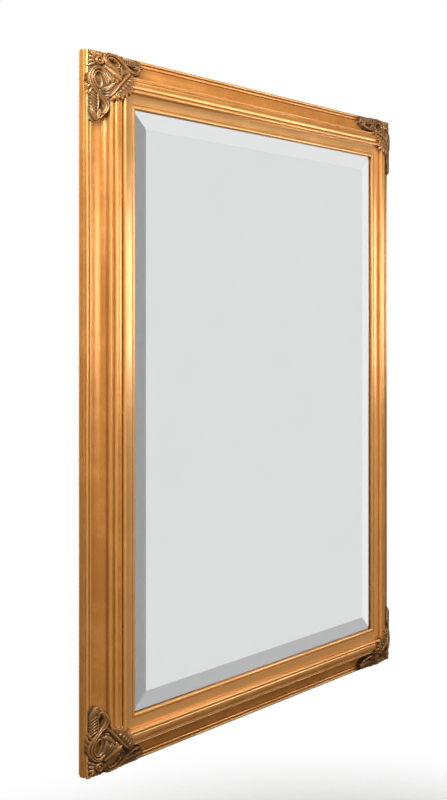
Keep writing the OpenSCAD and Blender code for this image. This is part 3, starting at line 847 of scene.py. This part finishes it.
def inset_plate(name, low, high, rim_back=0.0):
    """A thin block whose front face is inset by the bevel, with the rim of the front pushed back."""
    low, high = Vector(low), Vector(high)
    start_fresh()
    bpy.ops.mesh.primitive_cube_add(size=1)
    plate = name_piece(name)
    plate.scale = high - low
    plate.location = (low + high) / 2
    apply_place()
    bpy.ops.object.mode_set(mode="EDIT")
    bpy.ops.mesh.select_mode(type="FACE")
    bpy.ops.mesh.select_all(action="DESELECT")
    shape = bmesh.from_edit_mesh(plate.data)
    shape.normal_update()
    for face in shape.faces:
        face.select_set(face.normal.y < -0.9)
    bmesh.update_edit_mesh(plate.data)
    bpy.ops.mesh.inset(thickness=BEVEL_W * MM, depth=0)
    shape = bmesh.from_edit_mesh(plate.data)
    for v in shape.verts:
        rim = min(v.co.x - low.x, high.x - v.co.x, v.co.z - low.z, high.z - v.co.z) < HAIR
        if rim and v.co.y < low.y + HAIR:
            v.co.y += rim_back
    bmesh.update_edit_mesh(plate.data)
    bpy.ops.mesh.select_mode(type="VERT")
    bpy.ops.object.mode_set(mode="OBJECT")
    return plate


def paint_reflection_bands(plate):
    """Stores a painted reflection shade on every face: one for the middle and one for each side of the rim."""
    low, high = plate_box
    shade = plate.data.attributes.new("band", "FLOAT", "FACE")
    for face in plate.data.polygons:
        c = face.center
        edges = {"left": c.x - low[0], "right": high[0] - c.x, "bottom": c.z - low[2], "top": high[2] - c.z}
        side = min(edges, key=edges.get)
        shade.data[face.index].value = PAINTED_REFLECTION_SHADES[side if edges[side] < BEVEL_W * MM else "front"]


def make_glass():
    material, tree, shader = new_finish("bevelled glass", Transmission_Weight=1.0, IOR=1.52, Roughness=0.0)
    haze = noise(tree, object_place(tree), 5, 3)
    tone = blend(tree, span(tree, haze, 0.3, 0.7), (0.985, 0.992, 0.989, 1), (0.991, 0.996, 0.994, 1))
    feed(tree, shader, Base_Color=tone)
    return material


def make_silver():
    material, tree, shader = new_finish("mirror silver", Metallic=1.0, Roughness=0.0)
    haze = noise(tree, object_place(tree), 9, 4)
    # Painted reflection: the band value darkens the silver behind each bevel and the middle to a fixed shade.
    band = put(tree, "Attribute", attribute_name="band").outputs["Fac"]
    colour = blend(tree, span(tree, haze, 0.3, 0.7), (0.892, 0.894, 0.896, 1), (0.900, 0.902, 0.904, 1))
    feed(tree, shader, Base_Color=blend(tree, 1.0, colour, band, "MULTIPLY"))
    return material


plate_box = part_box("glass")
coat_low, coat_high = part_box("silvering")
inset = Vector((COAT_INSET, 0, COAT_INSET)) * MM
into_glass = Vector((0, COAT_INTO_GLASS, 0)) * MM
plate = inset_plate("bevelled_plate", *plate_box, rim_back=BEVEL_DROP * MM)
silver = inset_plate("silver_coat", Vector(coat_low) + inset - into_glass, Vector(coat_high) - inset)
paint_reflection_bands(silver)
for piece, finish, node, slot in ((plate, make_glass(), "glass", "clear_glass"),
                                  (silver, make_silver(), "silvering", "silvering")):
    piece.data.materials.append(finish)
    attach(piece, "frame")
    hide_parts(node)
print("plate:", len(plate.data.polygons), "faces, bevel %.1f mm wide" % BEVEL_W)

# %% [markdown]
# The back is plain workshop stuff: hardboard with its pressed screen pattern, zinc-plated plates, screws and buttons
# with a faint crystal spangle, nickel-plated rings, and dark rubber for the wall pads and the glass packers.

# %% Back and hardware finishes
def make_hardboard():
    material, tree, shader = new_finish("hardboard", Specular_IOR_Level=0.35)
    place = object_place(tree)
    fibres = noise(tree, stretched(tree, place, (900, 300, 700)), 1.0, 3, 0.6)
    cloud = noise(tree, place, 7, 4)
    across = put(tree, "TexWave", {"Vector": place, "Scale": 260.0, "Distortion": 0.6}, bands_direction="X")
    down = put(tree, "TexWave", {"Vector": place, "Scale": 260.0, "Distortion": 0.6}, bands_direction="Z")
    screen = sums(tree, "MULTIPLY", across.outputs["Fac"], down.outputs["Fac"])
    colour = blend(tree, span(tree, cloud, 0.3, 0.7), (0.185, 0.098, 0.046, 1), (0.245, 0.140, 0.070, 1))
    colour = blend(tree, span(tree, fibres, 0.55, 0.75, 0.0, 0.7), colour, (0.37, 0.24, 0.13, 1))
    colour = blend(tree, sums(tree, "MULTIPLY", screen, 0.25), colour, (0.10, 0.05, 0.025, 1))
    relief = put(tree, "Bump", {"Height": sums(tree, "ADD", screen, fibres), "Strength": 0.3, "Distance": 0.0003})
    feed(tree, shader, Base_Color=colour, Roughness=span(tree, fibres, 0.3, 0.7, 0.55, 0.75),
         Normal=relief.outputs["Normal"])
    return material


def make_plated(name, pale, deep, scale, rough):
    material, tree, shader = new_finish(name, Metallic=1.0)
    place = object_place(tree)
    crystal = put(tree, "TexVoronoi", {"Vector": place, "Scale": scale}).outputs["Color"]
    facet = put(tree, "SeparateColor", {"Color": crystal}).outputs[0]
    smear = noise(tree, place, scale * 0.4, 4)
    colour = blend(tree, span(tree, facet, 0.0, 1.0), deep, pale)
    colour = blend(tree, span(tree, smear, 0.55, 0.8, 0.0, 0.35), colour, (0.35, 0.34, 0.31, 1))
    relief = put(tree, "Bump", {"Height": noise(tree, place, 1500, 2), "Strength": 0.12, "Distance": 0.0002})
    roughness = sums(tree, "ADD", span(tree, facet, 0.0, 1.0, 0.0, 0.12), rough)
    feed(tree, shader, Base_Color=colour, Roughness=roughness, Normal=relief.outputs["Normal"])
    return material


def make_rubber(name, dark, dusty):
    material, tree, shader = new_finish(name, Specular_IOR_Level=0.35)
    place = object_place(tree)
    grain = noise(tree, place, 1100, 3)
    dust = noise(tree, place, 60, 4)
    colour = blend(tree, span(tree, dust, 0.45, 0.75, 0.0, 0.6), dark, dusty)
    relief = put(tree, "Bump", {"Height": grain, "Strength": 0.35, "Distance": 0.0003})
    feed(tree, shader, Base_Color=colour, Roughness=span(tree, grain, 0.3, 0.7, 0.62, 0.82),
         Normal=relief.outputs["Normal"])
    return material


zinc = make_plated("zinc plate", (0.66, 0.67, 0.68, 1), (0.50, 0.51, 0.53, 1), 260.0, 0.30)
nickel = make_plated("nickel wire", (0.72, 0.69, 0.64, 1), (0.64, 0.61, 0.57, 1), 700.0, 0.16)
CAD_FINISHES = (
    ("backing_board", make_hardboard()),
    ("glass_packers", make_rubber("packer rubber", (0.05, 0.05, 0.05, 1), (0.10, 0.10, 0.10, 1))),
    ("wall_pads", make_rubber("pad rubber", (0.016, 0.016, 0.017, 1), (0.06, 0.058, 0.055, 1))),
    ("ring", nickel), ("strap", zinc), ("turn_button", zinc), ("corner_plate", zinc), ("mitre_keys", zinc),
    ("slip_screws", zinc))
finished = []
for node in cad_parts:
    wanted = [finish for start, finish in reversed(CAD_FINISHES) if node.startswith(start)]
    piece = bpy.data.objects.get(node)
    if wanted and piece:
        for place in piece.material_slots:
            place.material = wanted[0]
        finished.append(node)
print("hardware finished:", len(finished))


# %% [markdown]
# A mirror is hung on a wall, so the floor is well below it: a plain pale disc that fades into the white surround. It
# takes the shadow, but throws no light back up, because gold that is lit from below looks hollow.

# %% Floor
FLOOR_R = 3.2
FLOOR_MIDDLE = (0.1, -0.2, BOTTOM - 0.70)
FADE_FROM, FADE_TO = 0.8, 1.7


def make_floor():
    start_fresh()
    bpy.ops.mesh.primitive_circle_add(vertices=96, radius=FLOOR_R, fill_type="NGON", location=FLOOR_MIDDLE)
    floor = name_piece("studio_floor")
    apply_place()
    material, tree, shader = new_finish("studio floor", Roughness=0.9, Specular_IOR_Level=0.2)
    place = object_place(tree)
    away = put(tree, "VectorMath", {0: place, 1: FLOOR_MIDDLE}, operation="DISTANCE").outputs["Value"]
    grain = noise(tree, place, 3, 3)
    unseen = sums(tree, "SUBTRACT", 1.0, put(tree, "LightPath").outputs["Is Singular Ray"])
    feed(tree, shader, Base_Color=blend(tree, grain, (0.80, 0.80, 0.795, 1), (0.83, 0.83, 0.825, 1)),
         Alpha=sums(tree, "MULTIPLY", span(tree, away, FADE_FROM, FADE_TO, 1.0, 0.0), unseen))
    floor.data.materials.append(material)
    floor.visible_diffuse = False
    floor.visible_glossy = False
    return floor


floor = make_floor()
print("floor at z %.2f," % FLOOR_MIDDLE[2], "radius", FLOOR_R)

# %% [markdown]
# The surround is white where it is seen or mirrored in the plate, and dim where it lights the gold: fairly bright
# overhead, and nearly dark below. The shape of the gold comes from five soft lamps. They are glowing panels that the
# camera and the polished plate look through, so the mirror stays an even pale grey, which is the white surround under
# the painted reflection shade of the silver, while the moulding gets its long highlights.

# %% Surround
def make_surround():
    world = bpy.context.scene.world or bpy.data.worlds.new("surround")
    bpy.context.scene.world = world
    world.use_nodes = True
    tree = world.node_tree
    tree.nodes.clear()
    out = put(tree, "OutputWorld")
    way = put(tree, "TexCoord").outputs["Generated"]

    height = put(tree, "SeparateXYZ", {"Vector": way}).outputs["Z"]
    ambient = span(tree, height, -0.45, 0.10, 0.05, 0.16)
    overhead = span(tree, height, math.cos(math.radians(70)), math.cos(math.radians(20)), 0.0, 0.06)
    ambient = sums(tree, "ADD", ambient, overhead)
    studio = put(tree, "Background", {"Color": (1, 1, 1, 1), "Strength": ambient})
    white = put(tree, "Background", {"Color": (1, 1, 1, 1), "Strength": 1.0})
    path = put(tree, "LightPath").outputs
    lit = put(tree, "MixShader", {0: path["Is Singular Ray"], 1: studio.outputs[0], 2: white.outputs[0]})
    seen = put(tree, "MixShader", {0: path["Is Camera Ray"], 1: lit.outputs[0], 2: white.outputs[0]})
    tree.links.new(seen.outputs[0], out.inputs["Surface"])
    return world


surround = make_surround()
print("surround:", len(surround.node_tree.nodes), "nodes")


# %% Lamps
def add_softbox(name, place, aim, size, glow, colour):
    """A glowing panel that lights everything but isn't itself seen by the camera or in polished glass."""
    turn = (Vector(aim) - Vector(place)).to_track_quat("Z", "Y").to_euler()
    start_fresh()
    bpy.ops.mesh.primitive_plane_add(size=1, location=place, rotation=turn)
    panel = name_piece(name)
    panel.scale = (size[0], size[1], 1)
    apply_place()
    material = bpy.data.materials.new(name)
    material.use_nodes = True
    tree = material.node_tree
    tree.nodes.clear()
    path, side = put(tree, "LightPath").outputs, put(tree, "NewGeometry").outputs
    unseen = sums(tree, "ADD", path["Is Singular Ray"], side["Backfacing"])
    power = sums(tree, "MULTIPLY", span(tree, unseen, 0.0, 1.0, 1.0, 0.0), glow)
    lit = put(tree, "Emission", {"Color": (*colour, 1), "Strength": power})
    clear = put(tree, "BsdfTransparent")
    shown = put(tree, "MixShader", {0: span(tree, unseen, 0.0, 1.0), 1: lit.outputs[0], 2: clear.outputs[0]})
    tree.links.new(shown.outputs[0], put(tree, "OutputMaterial").inputs["Surface"])
    panel.data.materials.append(material)
    panel.visible_camera = False
    panel.visible_shadow = False
    return panel


MIDDLE = ((LEFT + RIGHT) / 2, BACK, (TOP + BOTTOM) / 2)
softboxes = (
    add_softbox("key_softbox", (1.93, -1.85, -0.08), (-0.1, 0, -0.2), (1.3, 0.75), 6.5, (1.0, 0.96, 0.90)),
    add_softbox("front_softbox", (-0.3, -2.7, -0.02), (-0.3, 0, -0.15), (1.6, 0.75), 5.2, (1.0, 0.97, 0.93)),
    add_softbox("left_softbox", (-1.5, -0.55, 0.75), (-0.4, 0, -0.1), (0.8, 0.8), 16.0, (1.0, 0.98, 0.94)),
    add_softbox("top_softbox", (0.0, -0.9, 1.25), (0, 0, -0.2), (1.6, 0.6), 2.2, (1.0, 0.98, 0.94)),
    add_softbox("back_softbox", (0.9, 2.4, 0.6), MIDDLE, (3.4, 3.0), 1.5, (1, 1, 1)))
print("lamps:", [lamp.name for lamp in softboxes])

# %% [markdown]
# The camera stands to the left of the frame and a little above its middle, held level so that the uprights stay
# upright. A level camera at that height sees too little below, so the lens is shifted down, as on a view camera.

# %% Camera
VIEW_YAW = math.radians(47.8)
LENS, SENSOR, LENS_SHIFT = 87.9, 36.0, -0.163
camera_data = bpy.data.cameras.new("camera")
camera = bpy.data.objects.new("camera", camera_data)
bpy.context.scene.collection.objects.link(camera)
camera.location = (LEFT - 1.2433, BACK - 1.4713, TOP - 0.4845)
camera.rotation_euler = (math.radians(90), 0, -VIEW_YAW)
camera_data.sensor_fit = "HORIZONTAL"
camera_data.sensor_width = SENSOR
camera_data.lens = LENS
camera_data.shift_y = LENS_SHIFT
camera_data.dof.use_dof = False
bpy.context.scene.camera = camera
bpy.context.scene.view_settings.view_transform = "Standard"
print("camera at", tuple(round(v, 3) for v in camera.location))
